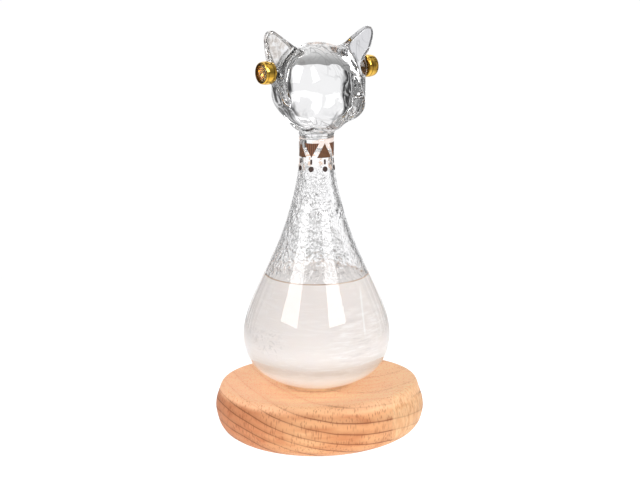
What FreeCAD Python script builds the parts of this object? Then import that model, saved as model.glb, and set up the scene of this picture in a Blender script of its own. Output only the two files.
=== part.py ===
import FreeCAD, Part
import os
import Sketcher
from FreeCAD import Placement, Rotation, Vector

# Storm glass: a drop-shaped sealed glass with a solid glass cat head, resting in a dished
# wooden pebble base.
# Origin: centre of the flat underside, on the axis of the glass. +Z up, +X along the long side
# of the base, -Y towards the front. Millimetres and degrees.

doc = FreeCAD.newDocument("storm_glass")
dims = doc.addObject("Spreadsheet::Sheet", "Dims")
known = {}  # the number behind each alias of the sheet


# ================================================================ driving dimensions
# A formula is a string of sheet names and signs parted by spaces: "dot_height - dot_radius".
def value(formula):
    """Number given by a formula of sums and differences."""
    total, sign = 0.0, 1
    for word in formula.split():
        if word in ("+", "-"):
            sign = -1 if word == "-" else 1
        else:
            total += sign * (known[word] if word in known else float(word))
    return total


def expression(formula):
    """The formula as other objects write it, with the sheet named."""
    return " ".join("Dims." + word if word in known else word for word in formula.split())


def sizes(**entries):
    """One row of the sheet for each size; a size is a number or a formula of earlier ones."""
    for name, size in entries.items():
        row = len(known) + 1
        is_formula = isinstance(size, str)
        dims.set("A%d" % row, name)
        dims.set("B%d" % row, "=" + size if is_formula else str(size))
        dims.setAlias("B%d" % row, name)
        known[name] = value(size) if is_formula else float(size)


def table(prefix, columns, rows):
    """Put a table in the sheet; gives back its rows as tuples of sheet names."""
    named = []
    for i, row in enumerate(rows):
        names = tuple("%s_%s_%02d" % (prefix, column, i) for column in columns)
        sizes(**dict(zip(names, row)))
        named.append(names)
    return named


# Outlines are (radius, height). The first and last points lie on the curve;
# those between are spline poles.

# ---- wooden base and its pad
sizes(
    base_half_length=53.5,
    base_half_width=48.2,
    base_offset=1.5,
    dish_floor=30.3,
    dish_radius=440.0,
    dish_shift=10.4,
    rim_rounding=2.2,
    seat_gap=0.05,
    pad_radius=27.0,
    pad_thickness=1.5)
# side of the base, radius taken along the long side, underside to crown
side = table("side", "rz", [
    (29.5, 0.5), (33.0, 1.1), (39.5, 2.6), (46.8, 5.2), (50.4, 8.6), (51.6, 12.0),
    (52.8, 16.0), (53.6, 20.6), (53.2, 25.5), (51.2, 30.5), (49.4, 34.0), (47.0, 37.0)])

# ---- glass vessel, outside and inside, from the filling port up
sizes(port_radius=3.0)
shell = table("shell", "rz", [
    ("port_radius", 30.0), (8.92, 30.25), (20.0, 33.1), (34.4, 41.2), (39.22, 58.69),
    (32.71, 76.47), (25.71, 91.48), (18.12, 107.53), (12.83, 124.02), (8.84, 141.05),
    (8.21, 152.75), (8.75, 158.5)])
# the curve of the bore runs on past the last pole to the axis at bore_top
bore = table("bore", "rz", [
    ("port_radius", 32.3), (7.63, 32.5), (17.0, 34.3), (28.6, 39.9), (36.45, 51.65),
    (34.81, 65.98), (29.35, 78.73), (23.57, 91.43), (17.56, 104.02), (12.81, 117.06),
    (9.27, 130.52), (6.21, 144.36), (7.24, 154.14)])
sizes(bore_top=153.6)

# ---- plug of the filling port
sizes(
    plug_bottom=30.9,
    plug_top=34.25,
    plug_tip_radius=2.7,
    plug_gap_side=0.05,
    plug_gap_up=0.1,
    plug_clear_radius="port_radius + plug_gap_side",
    plug_clear_height="plug_top + plug_gap_up")

# ---- liquid and crystal bed
sizes(
    wetting_gap_side=0.06,
    wetting_gap_up=0.03,
    liquid_level=88.1,
    meniscus_rise=1.3,
    meniscus_inner=23.2,
    meniscus_foot=24.6,
    meniscus_wall=26.2,
    air_radius=45.0,
    air_top=170.0,
    bed_height_middle=37.6,
    bed_wave_radius=14.0,
    bed_wave_height=36.8,
    bed_height_edge=42.0,
    bed_reach=45.0,
    bed_under=20.0)

# ---- crystal sprigs
sizes(
    tuft_radius=3.4,
    tuft_top_radius=1.1,
    tuft_height=6.0,
    sprig_root_y=-1.0,
    sprig_root_height=35.6,
    sprig_stem_radius=0.55,
    sprig_tip_radius=0.18,
    sprig_barb_radius=0.32)
# tip of each stem, and the sideways direction of its barbs
SPRIGS = [
    (Vector(22.5, -5.0, 80.0), Vector(0.25, 1.0, 0.0)),
    (Vector(-13.0, -12.0, 66.0), Vector(1.0, -0.6, 0.0)),
    (Vector(-8.0, 15.0, 72.0), Vector(1.0, 0.5, 0.0))]
BARB_PAIRS = 5
BARB_FIRST = 0.36  # as a share of the stem, like the next and the last
BARB_PITCH = 0.13
BARB_REACH = 6.4  # reach for each whole stem length left before the vanishing point
BARB_VANISH = 1.12

# ---- fired print on the neck
sizes(
    print_low=149.1,
    print_high=156.3,
    print_half_base=3.8,
    print_reach=14.0,
    print_inner_radius=7.7,
    lower_print_inner_radius=8.2,
    print_turn_upright=28.0,
    print_turn_inverted="print_turn_upright + 45",
    skin_radius_low=8.70,
    skin_radius_high=8.70,
    lower_skin_radius_low=9.40,
    lower_skin_radius_high=8.76,
    dash_low=145.9,
    dash_high=148.3,
    dash_half_width=0.5,
    dot_radius=1.35,
    dot_height=143.5,
    dots_low="dot_height - dot_radius")
TRIANGLE_COUNT = 4
MARK_COUNT = 8  # dashes, and dots

# ---- cat head
# the skull starts at the top of the neck and its curve ends on the axis at crown_height
skull = table("skull", "rz", [
    ("shell_r_11", "shell_z_11"), (9.7, 162.5), (17.5, 168.0), (23.6, 175.0),
    (23.2, 189.5), (19.8, 197.5), (12.5, 205.3)])
sizes(
    crown_height=205.1,
    head_turn=37.0,
    muzzle_forward=13.6,
    muzzle_height=171.0,
    muzzle_half_width=10.2,
    muzzle_half_depth=9.2,
    muzzle_half_height=7.6,
    chin_forward=9.0,
    chin_height=166.0,
    chin_radius=8.6,
    chin_flattening=1.2,
    nose_forward=17.2,
    nose_height=176.0,
    nose_half_width=4.0,
    nose_half_depth=4.6,
    nose_half_height=5.4,
    nose_tilt=24.0)

# ---- ears
sizes(
    ear_root_side=19.6,
    ear_root_height=194.2,
    ear_back=1.9,
    ear_lean=30.0,
    scoop_side=22.6,
    scoop_forward=7.4,
    scoop_height=199.0,
    scoop_half_width=5.6,
    scoop_half_depth=5.4,
    scoop_half_height=10.5)
# sections of an ear: distance along its axis from the root, half width, half depth
ear_sections = table("ear", ("station", "half_width", "half_depth"), [
    (-8.0, 10.4, 6.4), (0.0, 11.2, 5.8), (6.5, 9.0, 5.0),
    (12.5, 6.4, 4.1), (17.2, 4.1, 3.1), (19.8, 2.0, 1.8)])

# ---- earrings, measured sideways out of the head
sizes(
    earring_height=192.0,
    earring_back=1.5,
    cup_start=28.0,
    cup_length=6.2,
    cup_top="cup_start + cup_length",
    cup_back_radius=4.75,
    cup_belly_radius=5.75,
    cup_belly_bulge=0.35,
    cup_belly_inset=0.85,
    cup_belly_middle=3.0,
    cup_face_radius=5.0,
    cup_mouth_radius=4.35,
    cup_mouth_depth=1.5,
    cup_mouth_floor="cup_top - cup_mouth_depth",
    cup_cone_depth=3.6,
    cup_cone_floor="cup_top - cup_cone_depth",
    cup_cone_radius=1.0,
    gem_girdle_radius=4.33,
    gem_girdle_height=0.35,
    gem_table_radius=2.5,
    gem_crown_height=0.85,
    gem_culet_radius=1.0,
    gem_sides=12,
    bond_start=24.6,
    bond_radius=4.2,
    bond_root_radius=3.2)

doc.recompute()


# ================================================================ sketches and bodies
def origin_feature(body, role):
    return [o for o in body.Origin.OriginFeatures if o.Role == role][0]


def upright_sketch(body, name):
    """Sketch on the XZ plane: its x is X or the radius, its y is the height."""
    sk = body.newObject("Sketcher::SketchObject", name)
    sk.AttachmentSupport = [(origin_feature(body, "XZ_Plane"), "")]
    sk.MapMode = "FlatFace"
    return sk


def bind(sk, kind, geo, pos, formula, name):
    """Hold a point at a driven distance from the sketch origin."""
    index = sk.addConstraint(Sketcher.Constraint(kind, -1, 1, geo, pos, value(formula)))
    sk.renameConstraint(index, name)
    sk.setExpression("Constraints." + name, expression(formula))


def spline(points):
    """Clamped spline, cubic where there are poles enough, with evenly spaced knots."""
    degree = min(3, len(points) - 1)
    inner = len(points) - degree - 1
    multiplicities = [degree + 1] + [1] * inner + [degree + 1]
    knots = [j / (inner + 1.0) for j in range(inner + 2)]
    curve = Part.BSplineCurve()
    curve.buildFromPolesMultsKnots(points, multiplicities, knots, False, degree)
    return curve


def sketch_point(x, z):
    return Vector(0.0 if x is None else value(x), value(z), 0)


def outline(sk, corners):
    """Closed outline. A corner is (x, height, *poles): poles, if any, curve the edge to the
    next corner. An x of None holds the corner on the vertical axis."""
    count = len(corners)
    places = [sketch_point(*corner[:2]) for corner in corners]
    edges = []
    for i, (_, _, *poles) in enumerate(corners):
        start, end = places[i], places[(i + 1) % count]
        if poles:
            inner = [sketch_point(*pole) for pole in poles]
            geo = sk.addGeometry(spline([start] + inner + [end]), False)
            first_pole = sk.GeometryCount
            sk.exposeInternalGeometry(geo)
            for j, (x, z) in enumerate(poles):
                circle = first_pole + 1 + j
                bind(sk, "DistanceX", circle, 3, x, "px%d_%02d" % (i, j))
                bind(sk, "DistanceY", circle, 3, z, "pz%d_%02d" % (i, j))
        else:
            geo = sk.addGeometry(Part.LineSegment(start, end), False)
        edges.append(geo)
    for i in range(count):
        sk.addConstraint(Sketcher.Constraint("Coincident", edges[i], 2, edges[(i + 1) % count], 1))
    for i, (x, z, *_) in enumerate(corners):
        if x is None:
            sk.addConstraint(Sketcher.Constraint("PointOnObject", edges[i], 1, -2))
        else:
            bind(sk, "DistanceX", edges[i], 1, x, "cx%d" % i)
        bind(sk, "DistanceY", edges[i], 1, z, "cz%d" % i)


def turned(name, corners, label=None):
    """Body turned about the vertical axis."""
    body = doc.addObject("PartDesign::Body", name)
    body.Label = label or name
    sk = upright_sketch(body, name + "_outline")
    outline(sk, corners)
    doc.recompute()
    turning = body.newObject("PartDesign::Revolution", name + "_turned")
    turning.Profile = sk
    turning.ReferenceAxis = (sk, ["V_Axis"])
    turning.Angle = 360
    doc.recompute()
    return body


# ================================================================ solids
def drive(target, formulas):
    for prop, formula in formulas.items():
        target.setExpression(prop, expression(formula))


def primitive(kind, name, formulas, label=None, place=None):
    """Part object with driven properties."""
    solid = doc.addObject("Part::" + kind, name)
    solid.Label = label or name
    if place:
        solid.Placement = place
    drive(solid, formulas)
    return solid


def ellipsoid(name, half_width, half_depth, half_height, place):
    solid = primitive("Ellipsoid", name, {
        "Radius1": half_height, "Radius2": half_width, "Radius3": half_depth}, place=place)
    solid.Angle1, solid.Angle2, solid.Angle3 = -90, 90, 360
    return solid


def boolean(kind, name, base, tool, label=None):
    result = doc.addObject("Part::" + kind, name)
    result.Base = base
    result.Tool = tool
    result.Label = label or name
    return result


def fused(name, shapes, label=None):
    result = doc.addObject("Part::MultiFuse", name)
    result.Shapes = shapes
    result.Label = label or name
    return result


def about_z(angle):
    return Placement(Vector(0, 0, 0), Rotation(Vector(0, 0, 1), angle))


def in_head(x, y, z, rotation=Rotation()):
    """Placement given in the head's own frame, where the face looks along -Y."""
    return about_z(value("head_turn")).multiply(Placement(Vector(x, y, z), rotation))


# ================================================================ wooden base
def rim_edges(shape):
    """The crease where the dish meets the side: high up, long in X and nearly level."""
    lowest, least_length, most_rise = 29.0, 60, 12
    found = []
    for i, edge in enumerate(shape.Edges, start=1):
        box = edge.BoundBox
        if box.ZMin > lowest and box.XLength > least_length and box.ZLength < most_rise:
            found.append(i)
    return found


def wooden_base():
    """Oval pebble, dished on top, with a seat cut to the underside of the glass."""
    blank = turned("base_blank", [
        (*side[0], *side[1:-1]),
        side[-1],
        (None, side[-1][1]),
        (None, "pad_thickness"),
        ("pad_radius", "pad_thickness"),
        ("pad_radius", side[0][1])])
    oval = doc.addObject("Part::Scale", "base_oval")
    oval.Base = blank
    oval.Uniform = False
    oval.XScale = 1.0
    oval.ZScale = 1.0
    drive(oval, {
        "YScale": "base_half_width / base_half_length",
        "Placement.Base.x": "base_offset"})
    dish = primitive("Sphere", "dish_cutter", {
        "Radius": "dish_radius",
        "Placement.Base.x": "base_offset - dish_shift",
        "Placement.Base.z": "dish_floor + dish_radius"})
    dished = boolean("Cut", "base_dished", oval, dish)
    doc.recompute()

    rounded = doc.addObject("Part::Fillet", "base_rounded")
    rounded.Base = dished
    rounding = value("rim_rounding")
    rounded.Edges = [(i, rounding, rounding) for i in rim_edges(dished.Shape)]
    doc.recompute()

    lowered = [(r, z + " - seat_gap") for r, z in shell[:6]]
    seat = turned("seat_cutter", [
        (None, lowered[0][1]),
        (*lowered[0], *lowered[1:]),
        shell[6],
        (None, shell[6][1])])
    return boolean("Cut", "base_seated", rounded, seat, "wooden_base")


def base_pad():
    """Oval slab filling the recess in the underside."""
    ring = primitive("Ellipse", "pad_ring", {
        "MajorRadius": "pad_radius",
        "MinorRadius": "pad_radius * base_half_width / base_half_length",
        "Placement.Base.x": "base_offset"})
    slab = doc.addObject("Part::Extrusion", "pad_slab")
    slab.Label = "base_pad"
    slab.Base = ring
    slab.DirMode = "Custom"
    slab.Dir = Vector(0, 0, 1)
    slab.Solid = True
    drive(slab, {"LengthFwd": "pad_thickness"})
    return slab


# ================================================================ glass vessel and its port
def glass_vessel():
    """Hollow drop, closed at the neck and open at the port."""
    return turned("vessel_body", [
        (*shell[0], *shell[1:-1]),
        shell[-1],
        (None, shell[-1][1]),
        (None, "bore_top", *reversed(bore[1:])),
        bore[0]], "glass_vessel")


def fill_plug():
    return primitive("Cone", "plug_cone", {
        "Radius1": "port_radius",
        "Radius2": "plug_tip_radius",
        "Height": "plug_top - plug_bottom",
        "Placement.Base.z": "plug_bottom"}, "fill_plug")


def plug_seal():
    """Disc below the plug, flush with the lowest point of the glass."""
    underside = shell[0][1]
    return primitive("Cylinder", "seal_disc", {
        "Radius": "port_radius",
        "Height": "plug_bottom - " + underside,
        "Placement.Base.z": underside}, "plug_seal")


# ================================================================ crystal sprigs
def rod(name, start_radius, end_radius, start, end):
    """Round tapered rod between two points."""
    run = end - start
    place = Placement(start, Rotation(Vector(0, 0, 1), run))
    solid = primitive("Cone", name, {"Radius1": start_radius, "Radius2": end_radius}, place=place)
    solid.Height = run.Length
    return solid


def crystal_sprigs():
    """Three barbed stems growing out of one tuft."""
    root = Vector(0, value("sprig_root_y"), value("sprig_root_height"))
    rods = []
    for n, (tip, sideways) in enumerate(SPRIGS):
        name = "sprig_%d_" % n
        stem = tip - root
        rods.append(rod(name + "stem", "sprig_stem_radius", "sprig_tip_radius", root, tip))
        sideways = Vector(sideways).normalize()
        forward = Vector(stem).normalize()
        for k in range(BARB_PAIRS):
            share = BARB_FIRST + BARB_PITCH * k
            start = root + stem * share
            reach = BARB_REACH * (BARB_VANISH - share)
            for sign, letter in ((-1, "a"), (1, "b")):
                end = start + sideways * (sign * reach) + forward * reach
                rods.append(rod(name + "barb_%d_%s" % (k, letter),
                                "sprig_barb_radius", "sprig_tip_radius", start, end))
    tuft = primitive("Cone", "sprig_tuft", {
        "Radius1": "tuft_radius",
        "Radius2": "tuft_top_radius",
        "Height": "tuft_height",
        "Placement.Base.y": "sprig_root_y",
        "Placement.Base.z": "sprig_root_height"})
    return fused("sprigs_all", rods + [tuft])


# ================================================================ what the vessel holds
def contents():
    """Liquid, crystal bed and sprigs; the bed takes the bottom and the sprigs stand in liquid."""
    wet = [(r + " - wetting_gap_side", z + " + wetting_gap_up") for r, z in bore]
    full = turned("contents_full", [
        ("plug_clear_radius", wet[0][1], *wet[1:-1]),
        wet[-1],
        (None, wet[-1][1]),
        (None, "plug_clear_height"),
        ("plug_clear_radius", "plug_clear_height")])
    air = turned("air_space", [
        (None, "liquid_level"),
        ("meniscus_inner", "liquid_level", ("meniscus_foot", "liquid_level")),
        ("meniscus_wall", "liquid_level + meniscus_rise"),
        ("air_radius", "liquid_level + meniscus_rise"),
        ("air_radius", "air_top"),
        (None, "air_top")])
    bed = turned("bed_region", [
        (None, "bed_under"),
        ("bed_reach", "bed_under"),
        ("bed_reach", "bed_height_edge"),
        ("bed_wave_radius", "bed_wave_height"),
        (None, "bed_height_middle")])
    settled = boolean("Common", "bed_cut", full, bed, "settled_crystals")
    below_air = boolean("Cut", "contents_below_air", full, air)
    above_bed = boolean("Cut", "contents_above_bed", below_air, bed)
    feather = boolean("Cut", "sprigs_above_bed", crystal_sprigs(), bed, "feather_crystals")
    liquid = boolean("Cut", "liquid_cut", above_bed, feather, "storm_liquid")
    doc.recompute()
    return [liquid, settled, feather]


# ================================================================ fired print on the neck
def dot(sk):
    centre = Vector(0, value("dot_height"), 0)
    radius = value("dot_radius")
    circle = sk.addGeometry(Part.Circle(centre, Vector(0, 0, 1), radius), False)
    sk.addConstraint(Sketcher.Constraint("PointOnObject", circle, 3, -2))
    bind(sk, "DistanceY", circle, 3, "dot_height", "height")
    index = sk.addConstraint(Sketcher.Constraint("Radius", circle, radius))
    sk.renameConstraint(index, "radius")
    sk.setExpression("Constraints.radius", expression("dot_radius"))


def stamps(name, corners, turn, count):
    """Prisms outward from the axis, repeated round it. No corners means a round dot."""
    body = doc.addObject("PartDesign::Body", name)
    sk = upright_sketch(body, name + "_outline")
    if corners:
        outline(sk, corners)
    else:
        dot(sk)
    doc.recompute()
    prism = body.newObject("PartDesign::Pad", name + "_pad")
    prism.Profile = sk
    drive(prism, {"Length": "print_reach"})
    doc.recompute()
    ring = body.newObject("PartDesign::PolarPattern", name + "_ring")
    ring.Originals = [prism]
    ring.Axis = (origin_feature(body, "Z_Axis"), [""])
    ring.Angle = 360
    ring.Occurrences = count
    body.Tip = ring
    doc.recompute()
    body.Placement = about_z(value(turn))
    return body


def triangle(base_height, tip_height):
    return [
        ("- print_half_base", base_height),
        ("print_half_base", base_height),
        (None, tip_height)]


def neck_prints(vessel):
    """Thin patches on the neck: stamped out of a turned skin, less the glass under them."""
    upper_skin = turned("print_skin", [
        ("print_inner_radius", "print_low"),
        ("skin_radius_low", "print_low"),
        ("skin_radius_high", "print_high"),
        ("print_inner_radius", "print_high")])
    lower_skin = turned("lower_print_skin", [
        ("lower_print_inner_radius", "dots_low"),
        ("lower_skin_radius_low", "dots_low"),
        ("lower_skin_radius_high", "dash_high"),
        ("lower_print_inner_radius", "dash_high")])
    dash = [
        ("- dash_half_width", "dash_low"),
        ("dash_half_width", "dash_low"),
        ("dash_half_width", "dash_high"),
        ("- dash_half_width", "dash_high")]
    upright = triangle("print_low", "print_high")
    inverted = triangle("print_high", "print_low")
    prints = []
    for name, label, corners, turn, count, skin in [
            ("upright", "collar_upright_triangles", upright,
             "print_turn_upright", TRIANGLE_COUNT, upper_skin),
            ("inverted", "collar_inverted_triangles", inverted,
             "print_turn_inverted", TRIANGLE_COUNT, upper_skin),
            ("dashes", "collar_dashes", dash, "print_turn_upright", MARK_COUNT, lower_skin),
            ("dots", "collar_dots", None, "print_turn_upright", MARK_COUNT, lower_skin)]:
        stamp = stamps(name + "_stamps", corners, turn, count)
        patches = boolean("Common", name + "_patches", skin, stamp)
        doc.recompute()
        prints.append(boolean("Cut", name + "_print", patches, vessel, label))
    doc.recompute()
    return prints


# ================================================================ cat head
def skull_blank():
    return turned("skull_blank", [
        (*skull[0], *skull[1:]),
        (None, "crown_height"),
        (None, skull[0][1])])


def cat_head(blank):
    """Skull with muzzle, chin and nose grown into its front."""
    muzzle = ellipsoid(
        "muzzle", "muzzle_half_width", "muzzle_half_depth", "muzzle_half_height",
        in_head(0, -value("muzzle_forward"), value("muzzle_height")))
    chin = ellipsoid(
        "chin", "chin_radius", "chin_radius", "chin_radius - chin_flattening",
        in_head(0, -value("chin_forward"), value("chin_height")))
    nose = ellipsoid(
        "nose", "nose_half_width", "nose_half_depth", "nose_half_height",
        in_head(0, -value("nose_forward"), value("nose_height"),
                Rotation(Vector(1, 0, 0), value("nose_tilt"))))
    head = fused("head_glass", [blank, muzzle, chin, nose], "cat_head")
    doc.recompute()
    return head


# ================================================================ ears and earrings
# word and sign name the cat's own side: left is +1 and lies towards +X in the head's frame.
def whole_ear(word, sign, blank):
    """Leaning ear, hollowed in front and cut away where it meets the skull."""
    tilt = Rotation(Vector(0, 1, 0), sign * value("ear_lean"))
    root = Vector(sign * value("ear_root_side"), -value("ear_back"), value("ear_root_height"))
    rings = []
    for k, (station, half_width, half_depth) in enumerate(ear_sections):
        centre = root + tilt.multVec(Vector(0, 0, value(station)))
        rings.append(primitive(
            "Ellipse", "%s_ear_ring_%d" % (word, k),
            {"MajorRadius": half_width, "MinorRadius": half_depth},
            place=in_head(centre.x, centre.y, centre.z, tilt)))
    loft = doc.addObject("Part::Loft", word + "_ear_loft")
    loft.Sections = rings
    loft.Solid = True
    loft.Ruled = False
    doc.recompute()
    scoop = ellipsoid(
        word + "_ear_scoop", "scoop_half_width", "scoop_half_depth", "scoop_half_height",
        in_head(sign * value("scoop_side"), -value("ear_back + scoop_forward"),
                value("scoop_height"), tilt))
    hollow = boolean("Cut", word + "_ear_hollowed", loft, scoop)
    return boolean("Cut", word + "_ear_cut", hollow, blank)


def outward(sign, distance=0.0):
    """Placement on the earring's axis, with Z running sideways out of the head."""
    axis = in_head(0, -value("earring_back"), value("earring_height"),
                   Rotation(Vector(0, 1, 0), 90 * sign))
    return axis.multiply(Placement(Vector(0, 0, distance), Rotation()))


def earring_cup(word, sign):
    """Bellied cup with a mouth for the gem and a cone below it."""
    cup = turned(word + "_cup_body", [
        (None, "cup_start"),
        ("cup_back_radius", "cup_start",
         ("cup_belly_radius", "cup_start + cup_belly_inset"),
         ("cup_belly_radius + cup_belly_bulge", "cup_start + cup_belly_middle"),
         ("cup_belly_radius", "cup_top - cup_belly_inset")),
        ("cup_face_radius", "cup_top"),
        ("cup_mouth_radius", "cup_top"),
        ("cup_mouth_radius", "cup_mouth_floor"),
        ("cup_cone_radius", "cup_cone_floor"),
        (None, "cup_cone_floor")], word + "_earring_cup")
    cup.Placement = outward(sign)
    return cup


def earring_gem(word, sign):
    """Faceted gem through four polygons, from the culet out to the table."""
    girdle_top = "cup_mouth_floor + gem_girdle_height"
    rings = []
    for k, (radius, distance) in enumerate([
            ("gem_culet_radius", "cup_cone_floor"),
            ("gem_girdle_radius", "cup_mouth_floor"),
            ("gem_girdle_radius", girdle_top),
            ("gem_table_radius", girdle_top + " + gem_crown_height")]):
        rings.append(primitive(
            "RegularPolygon", "%s_gem_ring_%d" % (word, k),
            {"Polygon": "gem_sides", "Circumradius": radius},
            place=outward(sign, value(distance))))
    gem = doc.addObject("Part::Loft", word + "_gem_loft")
    gem.Label = word + "_earring_gem"
    gem.Sections = rings
    gem.Solid = True
    gem.Ruled = True
    return gem


def earring_bond(word, sign):
    """Tapered post between the ear and the back of the cup."""
    return primitive("Cone", word + "_bond_post", {
        "Radius1": "bond_root_radius",
        "Radius2": "bond_radius",
        "Height": "cup_start - bond_start"},
        word + "_earring_bond", outward(sign, value("bond_start")))


def ear_and_earring(word, sign, blank):
    whole = whole_ear(word, sign, blank)
    cup = earring_cup(word, sign)
    gem = earring_gem(word, sign)
    bond = earring_bond(word, sign)
    socket = boolean("Cut", word + "_ear_socket", whole, bond)
    ear = boolean("Cut", word + "_ear_trimmed", socket, cup, word + "_ear")
    doc.recompute()
    return [ear, cup, gem, bond]


# ================================================================ build and export
pieces = [wooden_base(), base_pad()]
pieces += contents()
vessel = glass_vessel()
pieces += [vessel, fill_plug(), plug_seal()]
doc.recompute()
pieces += neck_prints(vessel)
blank = skull_blank()
pieces.append(cat_head(blank))
for word, sign in (("left", 1), ("right", -1)):
    pieces += ear_and_earring(word, sign, blank)
doc.recompute()

for item in doc.Objects:
    for state in item.State:
        if state in ("Invalid", "Error"):
            raise RuntimeError("%s is %s" % (item.Label, state))
os.makedirs("parts", exist_ok=True)
for piece in pieces:
    if piece.Shape.isNull() or not piece.Shape.isValid():
        raise RuntimeError("bad shape in " + piece.Label)
    piece.Shape.exportStep("parts/%s.step" % piece.Label)
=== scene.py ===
"""A storm glass: a bottle of milky liquid with a cat's head, seated in a pebble-shaped wooden base.

The bottle's axis is Z and the base stands near Z = 0. The front looks along -Y and +X is to the
viewer's right. The head is turned about Z, so the face looks to the front and right.
Meshes are laid out in millimetres and scaled to metres. Shader coordinates are in metres.
"""
import contextlib
import functools
import math

import bmesh
import bpy
import numpy as np
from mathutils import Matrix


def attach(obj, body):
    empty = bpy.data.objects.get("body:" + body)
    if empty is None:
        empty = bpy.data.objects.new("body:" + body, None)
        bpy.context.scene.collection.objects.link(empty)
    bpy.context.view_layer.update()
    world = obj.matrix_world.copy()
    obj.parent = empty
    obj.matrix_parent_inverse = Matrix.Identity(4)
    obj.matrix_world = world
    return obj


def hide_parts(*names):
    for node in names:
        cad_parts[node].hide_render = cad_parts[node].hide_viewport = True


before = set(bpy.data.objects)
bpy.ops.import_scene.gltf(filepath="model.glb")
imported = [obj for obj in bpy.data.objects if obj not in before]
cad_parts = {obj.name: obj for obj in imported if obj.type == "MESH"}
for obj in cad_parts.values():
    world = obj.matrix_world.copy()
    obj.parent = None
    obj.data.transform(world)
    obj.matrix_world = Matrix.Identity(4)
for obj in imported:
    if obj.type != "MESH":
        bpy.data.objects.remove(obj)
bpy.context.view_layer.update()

import openvdb
from mathutils import Matrix, Vector

MM = 0.001
scene = bpy.context.scene

# Driving sizes, mm
NECK_RADIUS = 8.75
NECK_TOP = 158.5  # the head is fused on here
BORE_TOP = 153.6
LEVEL = 88.1  # liquid surface
CLIMB = 0.9  # how far the liquid climbs the wall
HEAD_TURN = math.radians(37.0)
FLOOR_RADIUS = 0.42  # metres

# Refractive indices
GLASS_IOR, LIQUID_IOR = 1.47, 1.36

# Outside of the bottle, spline poles (radius, height)
SHELL = [
    (3.0, 30.0), (8.92, 30.25), (20.0, 33.1), (34.4, 41.2), (39.22, 58.69), (32.71, 76.47),
    (25.71, 91.48), (18.12, 107.53), (12.83, 124.02), (8.84, 141.05), (8.21, 152.75),
    (NECK_RADIUS, NECK_TOP)]
# Inside of the bottle, spline poles (radius, height)
BORE = [
    (3.0, 32.3), (7.63, 32.5), (17.0, 34.3), (28.6, 39.9), (36.45, 51.65), (34.81, 65.98),
    (29.35, 78.73), (23.57, 91.43), (17.56, 104.02), (12.81, 117.06), (9.27, 130.52),
    (6.21, 144.36), (7.24, 154.14), (0.0, BORE_TOP)]


# ================================================================ curves and noise
def spline(poles, count):
    """Points along the clamped uniform cubic B-spline with these poles."""
    poles = np.array(poles, float)
    degree, pole_count = 3, len(poles)
    inner = pole_count - degree - 1
    knots = np.concatenate([
        np.zeros(degree + 1), np.arange(1, inner + 1) / (inner + 1.0), np.ones(degree + 1)])
    steps = np.linspace(0, 1, count)
    weights = np.zeros((count, pole_count + degree))
    for i in range(pole_count + degree):
        weights[:, i] = (steps >= knots[i]) & (steps < knots[i + 1])
    weights[steps >= 1, pole_count - 1] = 1
    for order in range(1, degree + 1):
        raised = np.zeros((count, pole_count + degree - order))
        for i in range(pole_count + degree - order):
            rise = knots[i + order] - knots[i]
            fall = knots[i + order + 1] - knots[i + 1]
            if rise > 0:
                raised[:, i] += (steps - knots[i]) / rise * weights[:, i]
            if fall > 0:
                raised[:, i] += (knots[i + order + 1] - steps) / fall * weights[:, i + 1]
        weights = raised
    return weights[:, :pole_count] @ poles


def evenly(curve, count):
    """The curve resampled at even steps of length."""
    length = np.r_[0, np.cumsum(np.linalg.norm(np.diff(curve, axis=0), axis=1))]
    wanted = np.linspace(0, length[-1], count)
    return np.stack([np.interp(wanted, length, curve[:, axis]) for axis in (0, 1)], 1)


def noise3(points, seed):
    """Gradient noise of points (n, 3), about -1..1."""
    rng = np.random.RandomState(seed)
    shuffled = rng.permutation(256)
    shuffled = np.r_[shuffled, shuffled]
    gradients = rng.normal(size=(256, 3))
    gradients /= np.linalg.norm(gradients, axis=1)[:, None]
    cell = np.floor(points).astype(int)
    part = points - cell
    ease = part * part * part * (part * (part * 6 - 15) + 10)
    total = 0
    for corner in np.ndindex(2, 2, 2):
        key, weight = 0, 1
        for axis, offset in enumerate(corner):
            key = shuffled[key + ((cell[:, axis] + offset) & 255)]
            weight = weight * (ease[:, axis] if offset else 1 - ease[:, axis])
        total = total + (gradients[key] * (part - corner)).sum(1) * weight
    return total * 1.6


def layered_noise(points, octaves, seed):
    """Sum of noises, each twice as fine and half as strong as the one before."""
    return sum(0.5 ** k * noise3(points * 2 ** k, seed + k) for k in range(octaves))


def smooth01(values, start, end):
    t = np.clip((values - start) / (end - start), 0, 1)
    return t * t * (3 - 2 * t)


# ================================================================ meshes
def mesh_object(name, points, faces, smooth=True):
    mesh = bpy.data.meshes.new(name)
    mesh.from_pydata([tuple(point) for point in np.asarray(points) * MM], [],
                     [tuple(int(i) for i in face) for face in faces])
    mesh.update()
    if smooth:
        mesh.polygons.foreach_set("use_smooth", [True] * len(mesh.polygons))
    ob = bpy.data.objects.new(name, mesh)
    scene.collection.objects.link(ob)
    return ob


@contextlib.contextmanager
def edited(mesh):
    """A bmesh of the mesh, written back at the end."""
    bm = bmesh.new()
    bm.from_mesh(mesh)
    yield bm
    bm.to_mesh(mesh)
    bm.free()


def set_slots(ob, materials, per_face=None):
    ob.data.materials.clear()
    for material in materials:
        ob.data.materials.append(material)
    if per_face is not None:
        ob.data.polygons.foreach_set("material_index", np.array(per_face, dtype=np.int32))
    ob.data.update()


def assign(ob, slot, ride, *replaced):
    """Hides the CAD nodes that the object stands for and attaches it to the body of its group. slot
    is not used.
    """
    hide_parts(*replaced)
    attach(ob, ride)


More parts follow.
